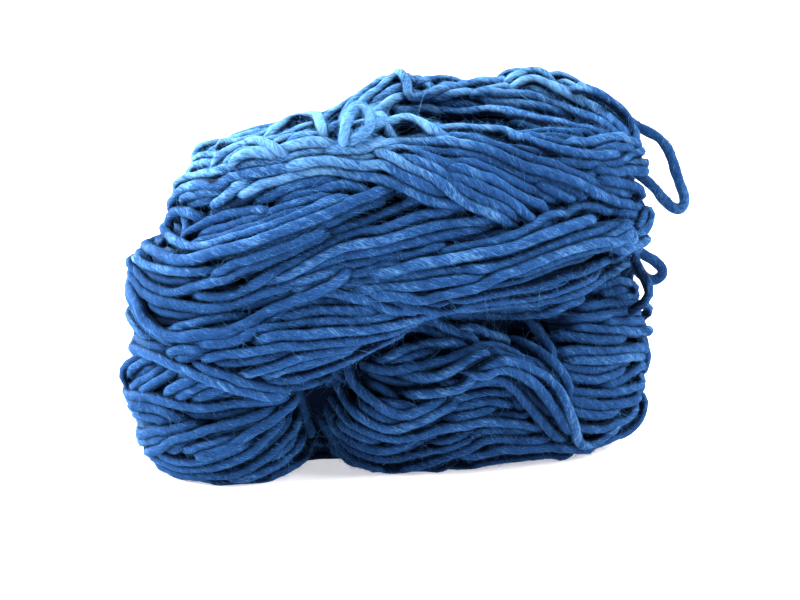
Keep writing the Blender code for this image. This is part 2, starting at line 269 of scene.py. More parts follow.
    "roll": """
u u 0 439,322 449,329 458,334 470,337
u e 1 469,329 480,331 490,336 500,338
u u 0 389,358 401,353 415,349 431,346 442,344 450,342
u u 0 403,358 418,354 431,350
u u 0 379,369 391,372 404,369 418,368 431,364 445,361 458,357 469,352 478,349 492,346 505,350 517,357
u u 0 414,376 424,379 438,377 451,371 462,365 471,360 482,354
u r 1 428,393 438,393 451,389 465,384 471,377 482,372 496,365 506,362 518,365 531,369 545,376 555,385
  561,396 566,407 570,418 574,428 577,441 581,447 588,446 597,441 605,435
u u 1 482,373 491,368 504,364 524,375 536,385 545,396 553,407 561,418 566,425
u u 0 458,383 471,383 488,377 498,375 509,383 518,393 528,404 536,415 545,426 554,435 561,439
u u -1 375,385 384,388 391,396
u u 1 350,376 354,385 361,392 371,399 381,406 393,411 407,414 418,410 428,406
u u 0 385,403 397,407 412,408
u u 0 340,385 344,396 352,407 362,416 375,423 388,428 401,427 415,423 428,418 439,411 449,407
u u 0 366,410 380,418 393,422
u u 0 336,403 344,414 354,424 368,431 383,436 397,439 412,438 426,434 439,428 455,427 471,424 485,420
  498,423 514,424 534,428
u u 0 330,415 337,427 348,438 361,445 375,449 391,450 407,443
u u 0 342,424 354,432 368,439
u u 0 329,428 334,442 344,451 357,459 375,465 391,469 407,466 424,462 438,459 451,453 465,449 474,442
  488,438 501,437 527,441 541,441
u r 0 471,455 488,451 501,447 520,447 541,445 567,446
u u 0 377,470 393,474 418,471 438,468
u u -1 445,439 453,437 461,435
u u 0 466,414 475,412 485,410
u u 0 533,321 539,331 545,341 551,349 553,357
u e 1 515,341 537,351 550,361 559,369 565,377 566,384
""",
}

# Hollows between the turns: where each runs in the photograph's frame, from x, y to x, y, how wide it
# is there, and how deep in millimetres.
HOLLOWS = (
    (188, 203, 220, 198, 4, 3),
    (176, 221, 183, 223, 4, 2),
    (208, 266, 236, 262, 4, 3),
    (240, 313, 292, 316, 4, 3),
    (340, 229, 400, 202, 4, 4),
    (322, 392, 318, 462, 10, 9),
    (334, 382, 326, 400, 6, 6),
    (503, 328, 529, 330, 8, 9),
    (440, 318, 500, 322, 4, 5),
    (345, 380, 375, 352, 4, 5),
    (375, 352, 430, 336, 4, 5),
    (425, 118, 505, 128, 8, 8),
    (396, 130, 414, 131, 8, 8),
    (560, 203, 620, 214, 4, 4),
    (604, 266, 640, 276, 4, 4),
    (552, 97, 590, 108, 3, 3),
    (430, 101, 505, 105, 3, 4),
)

# The run of the turns where the photograph doesn't show them, in millimetres.
HIDDEN_RUNS = (
    ((64, 30, 104), (36, 44, 100), (6, 47, 96), (-24, 44, 87), (-55, 30, 77)),
    ((66, 32, 92), (32, 47, 84), (-3, 50, 75), (-38, 46, 69), (-68, 28, 65)),
    ((70, 33, 44), (34, 48, 41), (0, 50, 45), (-36, 48, 54), (-66, 30, 61)),
    ((60, 40, 68), (20, 46, 62), (-20, 44, 60), (-60, 32, 56)),
    ((70, 34, 22), (30, 44, 20), (0, 42, 18)),
    ((-20, 36, 22), (-45, 38, 20), (-70, 30, 24)),
    ((60, 22, 124), (25, 20, 122), (-10, 22, 116), (-45, 18, 106)),
    ((55, 8, 124), (20, 4, 118), (-15, 6, 108)),
    ((60, 0, 0), (30, -6, 0), (0, 4, 0)),
    ((60, 20, 0), (20, 16, 0)),
    ((-30, 0, 0), (-50, 6, 0), (-70, 0, 0)),
)

# The four stretches of yarn that stand off the skein, in millimetres, along their middle.
LOOSE_TURNS = {
    "loop_right": (
        (75.2, 5, 111.8), (80.2, 3, 108.9), (84.1, 2, 106.7), (87.3, 1, 105.1), (90.4, 0, 103.1),
        (92.6, -1, 100.2), (94.2, -2, 96.4), (95.7, -2, 92), (97.2, -2, 88), (98.7, -2, 84.2),
        (98.7, -2, 81.5), (97.1, -2, 79.9), (94.7, -2, 80.6), (91.5, -2, 83.4), (88.7, -2, 86.8),
        (85.8, -2, 89.5), (80.9, -1, 93.1),
    ),
    "loop_low": (
        (75, 0, 70.3), (79.6, -1, 67.7), (82.8, -2, 66.1), (86.2, -2, 64.3), (89.7, -2, 62.1),
        (91.6, -3, 59.9), (91.3, -3, 57.5), (88.9, -3, 56.2), (86.2, -3, 57), (84, -2, 59.2),
        (81.8, -2, 62), (78.9, -1, 65.6), (75, 0, 68.6),
    ),
    "curl_top": (
        (-17, -7, 96.5), (-17.2, -8, 104), (-15.9, -9, 111), (-11.5, -10, 116.2), (-7.1, -10, 113.4),
        (-6.6, -9, 107.5), (-9.2, -7, 103), (-11.5, -5, 97),
    ),
    # the same turn's next curl, on the crest in front of it
    "curl_front": (
        (-19.4, -40.5, 107.5), (-19.1, -39.8, 109.5), (-18.6, -38, 111.7), (-17.8, -35, 113.8),
        (-16.3, -31.5, 115.9), (-13.9, -29, 117.5), (-11.6, -29.5, 117.3), (-10.4, -32, 115.6),
        (-10.6, -36, 113.5), (-12.3, -38.8, 111.7), (-15.1, -40, 110.4), (-17.2, -40, 108),
    ),
}
LOOSE_THICK = 0.85  # of the yarn's diameter: these stretches are pulled a little

# The turns at the back of the notch between foot and roll, on the floor, in millimetres.
NOTCH_TURNS = [
    ((-43, -13, z + 1), (-30, -9, z), (-21, -8, z), (-10, -13, z + 1)) for z in (1.6, 4.2, 6.8, 9.4, 12)
]

# How deep, in millimetres, a turn goes at each step of its end: under its neighbours, or bent in.
UNDER = (0.7, 1.8, 3.0, 4.1, 4.8)
BENT_IN = (0.7, 1.9, 3.4, 5.0)

# How a turn is laid where the photograph shows it.
TRACE_STEP = 4  # pixels between its places
STEEPEST = 1.1  # how steeply it may run away from the eye
OVER = 1.2  # how much higher it lies for each turn that it lies over, in millimetres
SLACK = (-0.9, 0.3)  # how much more or less than that, in millimetres
CARRIED_ON = (0.05, 0.16)  # how far it goes on where the photograph doesn't show it, in metres

# How a turn grows where the photograph doesn't show it.
FEEL, FEEL_ALONE = 9 * MM, 12 * MM  # how far off it still feels others, and where none is near
GRAIN_SHARE = 0.35  # how much it follows the skein's grain, beside the turns round it
WANDER_SHARE = 0.35  # how much it drifts
STRAIGHT = 52  # how far from the middle turns run along the skein before they bend, in millimetres
SPOTS = 9000  # places where a turn may start when no neighbour reaches
FEWEST = 8  # places in a turn that is kept
ROOM = 0.9  # spacings from the next turn where one may start
CLEAR = 0.62  # spacings from the next turn where one ends
BETWEEN = (0.7, 2.1)  # how much deeper it lies among the traced turns, in millimetres
ELSEWHERE = (-0.2, 1.5)  # and how much deeper where the photograph shows none
LAID_OVER = 0.25  # how many of those lie over another
OUTER_LONGEST, INNER_LONGEST = 0.26, 0.2  # in metres, to each side

# How the turns are pressed apart.
ROUNDS = 48
PAIRS_LAST = 6  # rounds before the pairs that touch are looked for anew
PAIR_REACH = 1.25  # spacings within which two places are a pair
NEXT_PLACES = 6  # places along the same turn that aren't a pair
ASIDE, UPWARD = 0.25, 0.9  # how turns that cross are pushed
HELD, FREE = 0.10, 0.03  # how much of the way home a traced turn goes in a round, and a grown one
CROSSING = 0.9  # turns cross where their directions' product is less
LIFT = 1.6 * MM  # how far a turn may be lifted or sunk before it counts as under the others
SETTLE = 0.16  # how much of its lift a turn loses in a round
STIFF = 0.22  # how much a turn straightens in a round

# The yarn's slubs: how much each wave swells it, and over how many millimetres.
SLUBS = ((0.6, 3.1), (0.8, 7.3), (0.4, 1.4))
THICKNESSES = (0.92, 1.08)  # of the turns, round the usual one
# painted light and shade: a turn is drawn paler where it stands out of the others, and darker where it lies
# under them
RAISED_PAINTED_LIGHT = 1.3  # how much paler a turn is where it stands out of the others
FIBRE_ROUND = 2.05  # how far from the middle the fibres' pattern is drawn, in millimetres

# Painted highlight, for the strong light on the crown and at the top left.
# Where the wool is drawn paler, to match how bright the photograph is on the crown and at the top left:
# from how high up, in millimetres, how much lower to the left, and over what rise. Then by how much.
PAINTED_LIGHT_FROM, PAINTED_LIGHT_LEAN, PAINTED_LIGHT_RISE = 95, 0.2, 18
PAINTED_LIGHT_TURNS, PAINTED_LIGHT_FIBRES = 2.2, 0.5

# Painted shade: the tone and the openness that the inner turns lose, and those of the imported middle,
# which is drawn dark.
INNER_SHADE_TONE, INNER_SHADE_OPEN = 2.5, 0.75
MIDDLE_SHADE_TONE, MIDDLE_SHADE_OPEN = -4.0, -1.0
MIDDLE_DEPTH = 4.0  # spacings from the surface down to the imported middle

OUTER_PIECES = ("turns_left", "turns_mid_left", "turns_mid_right", "turns_right")

STRAY = 9 * MM  # how far a loose fibre may reach out of the solids' box


def linear(hex_code):
    """An sRGB hex value as linear red, green, blue and full alpha."""
    parts = [int(hex_code[k : k + 2], 16) / 255 for k in (0, 2, 4)]
    return (*[c / 12.92 if c <= 0.04045 else ((c + 0.055) / 1.055) ** 2.4 for c in parts], 1.0)


def a_length(name, description, size):
    """A setting in metres."""
    return FloatProperty(name=name, description=description, default=size, unit="LENGTH")


def a_share(name, description, size):
    """A setting that is a share of something."""
    return FloatProperty(name=name, description=description, default=size, subtype="FACTOR")


def a_colour(name, description, hex_code):
    """A setting that is a colour."""
    return FloatVectorProperty(
        name=name, description=description, size=4, subtype="COLOR", default=linear(hex_code)
    )


class SkeinYarn(bpy.types.PropertyGroup):
    """The yarn and how it is packed."""

    diameter: a_length("Diameter", "How thick the yarn is", 4.1 * MM)
    pressed: a_share("Pressed", "How thick a packed turn is, of the loose yarn", 0.77)
    spacing: a_length("Spacing", "From one packed turn's middle to the next", 3.3 * MM)
    twist: a_length("Twist", "Length of yarn in which its fibres go round once", 15 * MM)
    unevenness: a_share("Unevenness", "How thick and thin the yarn is spun", 0.1)
    colour: a_colour("Colour", "The dyed wool", "2E5688")
    # the lightest locks, and also the painted highlight of raised turns, the crown and the top left
    pale_and_highlight_colour: a_colour("Pale colour", "The dyed wool where it is lightest", "78A4C2")
    # the dark end of the fibres' pattern, and also the painted shade of the inner turns
    deep_and_shade_colour: a_colour("Deep colour", "The dyed wool between fibres", "163050")
    # painted shade: the sides of the turns that face into the skein, the inner turns and the packed middle
    painted_gap_shade_colour: a_colour("Gap colour", "The dyed wool between turns", "08162E")
    halo_colour: a_colour("Halo colour", "Loose fibres against the light", "6AA6D4")
    nap_fibres: IntProperty(name="Nap fibres", description="How many short fibres", default=196000)
    halo_fibres: IntProperty(name="Halo fibres", description="How many long loose fibres", default=22000)


class SkeinStage(bpy.types.PropertyGroup):
    """The floor and the light, the suns in watts a square metre."""

    glow: FloatProperty(name="Glow", description="What the table throws up on the skein", default=0.9)
    floor_colour: a_colour("Floor", "The white table", "DCDADC")
    horizon: FloatProperty(name="Horizon", description="Weak light from near the horizon", default=0.35)
    sky: FloatProperty(name="Sky", description="Weak light from all round above", default=0.15)
    key: FloatProperty(name="Key light", description="Soft lamp at the left", default=33.0, unit="POWER")
    rim: FloatProperty(name="Rim light", description="Wide sun from the back left", default=12.0)
    top: FloatProperty(name="Top light", description="Wide sun from above", default=5.0)
    fill: FloatProperty(name="Fill light", description="Wide sun from the right", default=6.4)


def smooth_line(rows, count):
    """Points on an open smooth curve through the rows."""
    rows = np.array(rows, float)
    at = np.linspace(0, len(rows) - 1, count)
    start = np.minimum(np.floor(at).astype(int), len(rows) - 2)
    before, here, after, last = (rows[np.clip(start + k, 0, len(rows) - 1)] for k in (-1, 0, 1, 2))
    t = (at - start)[:, None]
    slope, next_slope = (after - before) / 2, (last - here) / 2
    return (
        (2 * t**3 - 3 * t**2 + 1) * here + (t**3 - 2 * t**2 + t) * slope
        + (-2 * t**3 + 3 * t**2) * after + (t**3 - t**2) * next_slope
    )


def evenly(line, step):
    """The same line with its points a step apart."""
    line = np.array(line, float)
    run = np.concatenate(([0], np.cumsum(np.linalg.norm(np.diff(line, axis=0), axis=1))))
    places = np.linspace(0, run[-1], max(2, round(run[-1] / step) + 1))
    return np.column_stack([np.interp(places, run, line[:, k]) for k in range(3)])


def set_down(route, count, step=STEP):
    """A route in millimetres as a smooth line where the part stands."""
    return evenly(smooth_line(route, count) * MM + np.array(STAND), step)


def directions(line):
    """The unit direction at each point of a line."""
    way = np.gradient(line, axis=0)
    return way / np.maximum(np.linalg.norm(way, axis=1), 1e-12)[:, None]


def end_heading(line):
    """The way a line goes at its end."""
    return Vector(line[-1]) - Vector(line[-min(4, len(line))])


def view_axes():
    """The photograph's eye, and the directions to its right, up and ahead."""
    a, e = math.radians(AZIMUTH), math.radians(ELEVATION)
    back = Vector((math.sin(a) * math.cos(e), -math.cos(a) * math.cos(e), math.sin(e)))
    right = (-back).cross(Vector((0, 0, 1))).normalized()
    return TARGET + back * DISTANCE, right, right.cross(-back), -back


def beside(verts, tris):
    """The mean of each point's neighbours."""
    total, count = np.zeros_like(verts), np.zeros(len(verts))
    for k in range(3):
        for other in (1, 2):
            here, there = tris[:, k], tris[:, (k + other) % 3]
            count += np.bincount(here, minlength=len(verts))
            for axis in range(3):
                total[:, axis] += np.bincount(here, verts[there, axis], len(verts))
    return total / np.maximum(count, 1)[:, None]


def upright(verts, tris):
    """The surface's normal at each point."""
    a, b, c = (verts[tris[:, k]] for k in range(3))
    face, normals = np.cross(b - a, c - a), np.zeros_like(verts)
    for k in range(3):
        for axis in range(3):
            normals[:, axis] += np.bincount(tris[:, k], face[:, axis], len(verts))
    return normals / np.maximum(np.linalg.norm(normals, axis=1), 1e-12)[:, None]


class Packed:
    """The turns laid so far, and how they run."""

    REBUILD = 400

    def __init__(self):
        self.points, self.ways, self.indexed, self.tree = [], [], 0, None
        self.fresh = np.zeros((0, 3))

    def add(self, line):
        self.points += [tuple(p) for p in line]
        self.ways += [tuple(d) for d in directions(line)]
        if len(self.points) - self.indexed > self.REBUILD:
            self.tree = KDTree(len(self.points))
            for k, p in enumerate(self.points):
                self.tree.insert(p, k)
            self.tree.balance()
            self.indexed = len(self.points)
        self.fresh = np.array(self.points[self.indexed :]).reshape(-1, 3)

    def gap(self, point):
        """How far the nearest turn's middle is."""
        found = self.tree.find(point)[2] if self.tree else 1.0
        if len(self.fresh):
            found = min(found, math.sqrt(((self.fresh - np.array(point)) ** 2).sum(axis=1).min()))
        return found

    def way(self, point, heading, reach):
        """The mean direction of the turns round a point, the way that heading goes."""
        total = Vector((0, 0, 0))
        if self.tree:
            for _, k, away in self.tree.find_n(point, 7):
                if away < reach:
                    way = Vector(self.ways[k])
                    total += way * (1 if way.dot(heading) > 0 else -1) * (1 - away / reach)
        return total


class Skin:
    """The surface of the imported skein, which the turns lie in, with the hollows between bundles."""

    WELD = 0.01 * MM  # points nearer than this are one
    FLAT = 0.5 * MM  # the pressed underside lies lower than this
    RIM = 2  # pixels round a hollow that belong to it
    EDGE_ON = 0.15  # a surface that faces the eye less than this doesn't count as shown

    def __init__(self):
        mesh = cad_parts["skein"].data
        mesh.calc_loop_triangles()
        verts = np.array([v.co for v in mesh.vertices])
        tris = np.array([t.vertices for t in mesh.loop_triangles])
        # points that the import split are joined again, then each face is cut in four and rounded
        snapped = np.round(verts / self.WELD)
        _, first, joined = np.unique(snapped, axis=0, return_index=True, return_inverse=True)
        verts, tris = verts[first], joined.reshape(-1)[tris]
        self.coarse = verts, tris
        edges = np.sort(np.concatenate((tris[:, (0, 1)], tris[:, (1, 2)], tris[:, (2, 0)])), axis=1)
        edges, which = np.unique(edges, axis=0, return_inverse=True)
        ab, bc, ca = (len(verts) + part for part in np.split(which.reshape(-1), 3))
        a, b, c = tris.T
        quarters = (a, ab, ca), (ab, b, bc), (ca, bc, c), (ab, bc, ca)
        tris = np.concatenate([np.stack(corners, 1) for corners in quarters])
        verts = np.vstack((verts, verts[edges].mean(axis=1)))
        flat = verts[:, 2] < self.FLAT
        for _ in range(3):
            verts = np.where(flat[:, None], verts, beside(verts, tris) * 0.6 + verts * 0.4)
        self.tris = tris
        self.tree = BVHTree.FromPolygons(verts.tolist(), tris.tolist())
        eye, right, up, forward = view_axes()
        self.eye = eye
        self.axes = np.array((right, up, forward))
        # each hollow is a row of dents; a pixel is about a third of a millimetre on the skein
        normals = upright(verts, tris)
        sink = np.zeros(len(verts))
        for x, y, x2, y2, wide, deep in HOLLOWS:
            for t in np.linspace(0, 1, 8):
                ray = right * (x + (x2 - x) * t - WIDE / 2) + up * (HIGH / 2 - y - (y2 - y) * t)
                ray += forward * FOCAL
                hit = self.tree.ray_cast(eye, ray.normalized())[0]
                if hit:
                    away = np.linalg.norm(verts - np.array(hit), axis=1) / ((wide / 3 + 2) * MM)
                    sink = np.maximum(sink, deep * MM * np.exp(-(away**2)))
        self.verts = verts - normals * sink[:, None]
        self.tree = BVHTree.FromPolygons(self.verts.tolist(), tris.tolist())

    def hollow(self, point, normal):
        """Whether a place lies in a hollow that the photograph shows."""
        to = point - self.eye
        if normal.dot(to) > 0:
            return False
        x, y, z = self.axes @ np.array(to)
        x, y = WIDE / 2 + x / z * FOCAL, HIGH / 2 - y / z * FOCAL
        for x1, y1, x2, y2, wide, _ in HOLLOWS:
            t = ((x - x1) * (x2 - x1) + (y - y1) * (y2 - y1)) / ((x2 - x1) ** 2 + (y2 - y1) ** 2)
            t = min(max(t, 0), 1)
            if math.hypot(x1 + (x2 - x1) * t - x, y1 + (y2 - y1) * t - y) < wide + self.RIM:
                return True
        return False

    def shown(self, point):
        """Whether the photograph shows the surface near a point."""
        near, normal, _, _ = self.tree.find_nearest(point)
        to = near - self.eye
        return normal.dot(to) < -self.EDGE_ON * to.length

    def height(self, point):
        """How far a point stands out of the surface, or less than nothing under it."""
        near, normal, _, _ = self.tree.find_nearest(point)
        return (Vector(point) - near).dot(normal)

    def under(self, point, depth):
        """The place at that depth under the surface nearest a point, and the surface's normal there."""
        near, normal, _, _ = self.tree.find_nearest(point)
        return near - normal * depth, normal

    def spots(self, count, rng):
        """Points spread over the surface."""
        a, b, c = (self.verts[self.tris[:, k]] for k in range(3))
        area = np.linalg.norm(np.cross(b - a, c - a), axis=1)
        pick = rng.choice(len(area), count, p=area / area.sum())
        u, v = rng.random((2, count, 1))
        fold = u + v > 1
        u, v = np.where(fold, 1 - u, u), np.where(fold, 1 - v, v)
        return a[pick] + u * (b - a)[pick] + v * (c - a)[pick]


def grain(point, heading):
    """How turns run round the skein where no other turn says: along it, and round its ends."""
    x = (point.x - STAND.x) / MM
    past = x - min(max(x, -STRAIGHT), STRAIGHT)
    y = (point.y - STAND.y) / MM
    way = Vector((1, 0, 0)) if past == 0 else Vector((-y, past, 0)).normalized()
    return way if way.dot(heading) > 0 else -way


def wander(point, seed):
    """A slow seeded drift of the turns' direction, in radians: two waves some 10 cm long."""
    x, y, z = (c / MM for c in point)
    return 0.16 * math.sin(x / 17 + seed) + 0.13 * math.sin(z / 13 + y / 19 + 2.1 * seed)


def run_on(skin, packed, start, heading, length, depth, keep, seed, follow=0.45, shun=False):
    """A turn from start on over the surface, until it meets another turn or has its length."""
    line, here, ahead = [], Vector(start), Vector(heading).normalized()
    for _ in range(int(length / STEP)):
        place, normal = skin.under(here + ahead * STEP, depth)
        wish = packed.way(place, ahead, FEEL) + grain(place, ahead) * GRAIN_SHARE
        wish -= normal * wish.dot(normal)
        if wish.length > 1e-6:
            wish.normalize()
            side = normal.cross(wish)
            turn = wander(place, seed) * WANDER_SHARE
            wish = wish * math.cos(turn) + side * math.sin(turn)
            ahead = ahead * (1 - follow) + wish * follow
        ahead -= normal * ahead.dot(normal)
        if ahead.length < 1e-6:
            break
        ahead.normalize()
        place, normal = skin.under(here + ahead * STEP, depth)
        stuck = (place - here).length < STEP * 0.3
        if stuck or packed.gap(place) < keep or (shun and skin.hollow(place, normal)):
            break
        ahead = (place - here).normalized()
        line.append(tuple(place))
        here = place
    return line


def dive(skin, line, depths):
    """The end of a turn that goes down under its neighbours."""
    here, ahead, step = Vector(line[-1]), end_heading(line).normalized(), 0.75 * STEP
    level = max(-skin.height(here), 0)
    end = []
    for depth in depths:
        _, normal = skin.under(here + ahead * step, 0)
        ahead = (ahead - normal * ahead.dot(normal)).normalized()
        place, _ = skin.under(here + ahead * step, level + depth * MM)
        ahead = (ahead + (place - here).normalized() * 0.3).normalized()
        here = place
        end.append(tuple(here))
    return end


def tucked(skin, line):
    """A turn with both its ends under its neighbours."""
    return np.vstack((dive(skin, line[::-1], UNDER)[::-1], line, dive(skin, line, UNDER)))


def lay_on(skin, spots, depth):
    """A line drawn in the photograph's frame, laid on the skein at that depth under its surface."""
    eye, right, up, forward = view_axes()
    spots = np.array(spots, float)
    reach = np.linalg.norm(np.diff(spots, axis=0), axis=1).sum()
    drawn = smooth_line(spots, max(4, round(reach / TRACE_STEP)))
    rays = [
        (right * (x - WIDE / 2) / FOCAL + up * (HIGH / 2 - y) / FOCAL + forward).normalized()
        for x, y in drawn
    ]
    far, seen = [], []
    for ray in rays:
        hit = skin.tree.ray_cast(eye, ray)
        seen.append(hit[0] is not None)
        far.append(hit[3] if hit[0] is not None else np.nan)
    far = np.array(far)
    if not any(seen):
        far[:] = DISTANCE
    missing = np.isnan(far)
    far[missing] = np.interp(np.flatnonzero(missing), np.flatnonzero(~missing), far[~missing])
    for k in np.flatnonzero(missing):
        for _ in range(4):
            near = skin.tree.find_nearest(eye + rays[k] * far[k])[0]
            far[k] = (near - eye).dot(rays[k])
    # a turn doesn't follow a step in the surface, but spans it
    places = np.arange(len(far))
    apart = np.abs(np.subtract.outer(places, places)) * (TRACE_STEP / FOCAL * DISTANCE)
    far = (far[None, :] + STEEPEST * apart).min(axis=1)
    most = 2 * MM  # that a place moves at a time
    for _ in range(3):
        for k, ray in enumerate(rays):
            if seen[k]:
                place = eye + ray * far[k]
                near, normal, _, _ = skin.tree.find_nearest(place)
                below = -(place - near).dot(normal)
                far[k] += max(-most, min(most, (depth - below) / max(abs(normal.dot(ray)), 0.5)))
    for _ in range(8):
        far[1:-1] = far[1:-1] * 0.5 + (far[:-2] + far[2:]) * 0.25
    return evenly([eye + ray * f for ray, f in zip(rays, far)], STEP)


def drawn_turns():
    """How each turn that shows starts and ends, how many it lies over, and its spots."""
    for rows in TURNS.values():
        for row in rows.strip().replace("\n  ", " ").splitlines():
            start, end, over, *spots = row.split()
            yield start, end, int(over), [[float(c) for c in spot.split(",")] for spot in spots]


def traced_turns(skin, packed, rng, spacing, radius):
    """The turns that the photograph shows, each with how many it lies over."""
    laid = []
    for start, end, over, spots in drawn_turns():
        depth = radius - (over * OVER + rng.uniform(*SLACK)) * MM
        laid.append((lay_on(skin, spots, depth), start, end, over))
    for line, *_ in laid:
        packed.add(line)
    turns = []
    for line, start, end, over in laid:
        for kind in (start, end):
            line = line[::-1]
            if kind == "r":
                more = run_on(
                    skin, packed, line[-1], end_heading(line), rng.uniform(*CARRIED_ON), radius,
                    spacing * 0.4, rng.uniform(0, 6), 0.3,
                )
                # its own first places are near its own end
                if len(more) > 1:
                    packed.add(np.array(more))
                    line = np.vstack((line, more))
            line = np.vstack((line, dive(skin, line, BENT_IN if kind == "e" else UNDER)))
        turns.append((line, over, 1.0))
    return turns


def filling_turns(skin, packed, rng, spacing, depth, turns, lines, longest, shun=False):
    """Turns beside turns, until the surface is covered."""
    queue = [np.array(line) for line in lines]
    rooms = [tuple(p) for p in skin.spots(SPOTS, rng)]

    def grow(seed, heading):
        # every turn on top in the photograph is traced, so those between them there lie deeper
        shown = shun and skin.shown(seed)
        deep = depth + rng.uniform(*(BETWEEN if shown else ELSEWHERE)) * MM
        place, normal = skin.under(seed, deep)
        if packed.gap(place) < spacing * ROOM or (shun and skin.hollow(place, normal)):
            return
        drift = rng.uniform(0, 6)
        ahead, back = (
            run_on(
                skin, packed, place, heading * sign, rng.uniform(0.4, 1) * longest, deep,
                spacing * CLEAR, drift, shun=shun,
            )
            for sign in (1, -1)
        )
        line = np.array(back[::-1] + [tuple(place)] + ahead)
        if len(line) < FEWEST:
            return
        packed.add(line)
        queue.append(line)
        over = -1 if shown else int(rng.random() < LAID_OVER)
        turns.append((tucked(skin, line), over, 0.0))

    while queue or rooms:
        if queue:
            line = queue.pop(0)
            ways = directions(line)
            for k in range(1, len(line), 4):
                way = Vector(ways[k])
                _, normal = skin.under(Vector(line[k]), 0)
                for sign in (1, -1):
                    grow(Vector(line[k]) + normal.cross(way) * sign * spacing, way)
        else:
            seed, rightward = Vector(rooms.pop()), Vector((1, 0.01, 0))
            way = packed.way(seed, rightward, FEEL_ALONE)
            grow(seed, way if way.length > 1e-3 else grain(seed, rightward))


def close_pairs(points, reach):
    """Every two points that lie within reach of each other."""
    cell = np.floor(points / reach).astype(np.int64)
    cell -= cell.min(axis=0) - 1
    size = cell.max(axis=0) + 2
    key = (cell[:, 0] * size[1] + cell[:, 1]) * size[2] + cell[:, 2]
    order = np.argsort(key, kind="stable")
    ranked = key[order]
    firsts, seconds = [], []
    steps = [(x, y, z) for x in (-1, 0, 1) for y in (-1, 0, 1) for z in (-1, 0, 1)]
    for x, y, z in steps[13:]:
        wanted = ranked + (x * size[1] + y) * size[2] + z
        low = np.searchsorted(ranked, wanted, "left")
        count = np.searchsorted(ranked, wanted, "right") - low
        i = np.repeat(np.arange(len(points)), count)
        j = np.arange(count.sum()) - np.repeat(np.cumsum(count) - count, count)
        j += np.repeat(low, count)
        if (x, y, z) == (0, 0, 0):
            i, j = i[i < j], j[i < j]
        firsts.append(order[i])
        seconds.append(order[j])
    i, j = np.concatenate(firsts), np.concatenate(seconds)
    near = ((points[i] - points[j]) ** 2).sum(axis=1) < reach**2
    return i[near], j[near]


def press_apart(skin, turns, spacing, radius):
    """Moves turns that lie in each other apart, as packed yarn moves, without changing their run."""
    points = np.vstack([line for line, *_ in turns])
    lengths = [len(line) for line, *_ in turns]
    strand = np.repeat(np.arange(len(turns)), lengths)
    within = np.concatenate([np.arange(n) for n in lengths])
    # which of two crossing turns goes on top: first by how many it lies over, then a traced one
    ranks = [over * 10 + held * 3 + (k * 0.618) % 1 for k, (_, over, held) in enumerate(turns)]
    hold = np.repeat([HELD if held else FREE for _, _, held in turns], lengths)[:, None]
    home = points.copy()
    normal = np.array([skin.tree.find_nearest(p)[1] for p in points])
    sunk = np.array([-skin.height(p) for p in points]) > radius + LIFT
    rank = np.repeat(ranks, lengths) - 30 * sunk
    inner = (within > 0) & (np.append(within[1:], 0) > 0)
    middle = np.flatnonzero(inner)
    for turn in range(ROUNDS):
        if turn % PAIRS_LAST == 0:
            i, j = close_pairs(points, spacing * PAIR_REACH)
            other = (strand[i] != strand[j]) | (np.abs(within[i] - within[j]) > NEXT_PLACES)
            i, j = i[other], j[other]
            way = np.zeros_like(points)
            way[middle] = points[middle + 1] - points[middle - 1]
            way /= np.maximum(np.linalg.norm(way, axis=1), 1e-9)[:, None]
            crossing = (np.abs((way[i] * way[j]).sum(axis=1)) < CROSSING) | (sunk[i] != sunk[j])
            above = np.where(rank[j] > rank[i], 1.0, -1.0)[:, None] * (normal[i] + normal[j]) / 2
        apart = points[j] - points[i]
        distance = np.maximum(np.linalg.norm(apart, axis=1), 1e-6)
        overlap = np.maximum(spacing - distance, 0)
        push = apart / distance[:, None]
        push = np.where(crossing[:, None], ASIDE * push + UPWARD * above, push)
        push *= (overlap * 0.5)[:, None]
        count = np.bincount(i, overlap > 0, len(points)) + np.bincount(j, overlap > 0, len(points))
        moved = np.column_stack([
            np.bincount(j, part, len(points)) - np.bincount(i, part, len(points)) for part in push.T
        ])
        points += moved / np.maximum(count, 1)[:, None] ** 0.6
        points += (home - points) * hold
        rise = ((points - home) * normal).sum(axis=1)
        points -= normal * (rise * SETTLE + np.maximum(rise - LIFT, 0))[:, None]
        points[middle] += STIFF * ((points[middle - 1] + points[middle + 1]) / 2 - points[middle])
        points[:, 2] = np.maximum(points[:, 2], radius)
    cuts = np.cumsum(lengths)[:-1]
    return np.split(points, cuts), np.split(normal, cuts)


@lru_cache(maxsize=1)
def skin_of_skein():
    """The skein's surface, made once."""
    return Skin()


@lru_cache(maxsize=1)
def wound(diameter, spacing):
    """The turns in the surface with its normals, those beneath, and how much fuller the first are."""
    rng = np.random.default_rng(SEED)
    skin, packed = skin_of_skein(), Packed()
    radius = diameter / 2
    turns = traced_turns(skin, packed, rng, spacing, radius)
    for route in LOOSE_TURNS.values():
        packed.add(set_down(route, 60))
    for run in HIDDEN_RUNS:
        line = evenly([skin.under(Vector(p) * MM + STAND, radius)[0] for p in smooth_line(run, 60)], STEP)
        if min(packed.gap(p) for p in line[::4]) > spacing * 0.6:
            packed.add(line)
            turns.append((tucked(skin, line), 1, 0.0))
    lines = [line for line, *_ in turns]
    filling_turns(skin, packed, rng, spacing, radius, turns, lines, OUTER_LONGEST, shun=True)
    outer, normals = press_apart(skin, turns, spacing, radius)
    below = []
    filling_turns(skin, Packed(), rng, spacing * 1.05, radius + spacing * 0.95, below, [], INNER_LONGEST)
    beneath = [line for line, *_ in below] + [set_down(route, 40) for route in NOTCH_TURNS]
    fuller = [(0.9 + 0.7 * max(over, 0)) * held for _, over, held in turns]
    return outer, normals, beneath, fuller


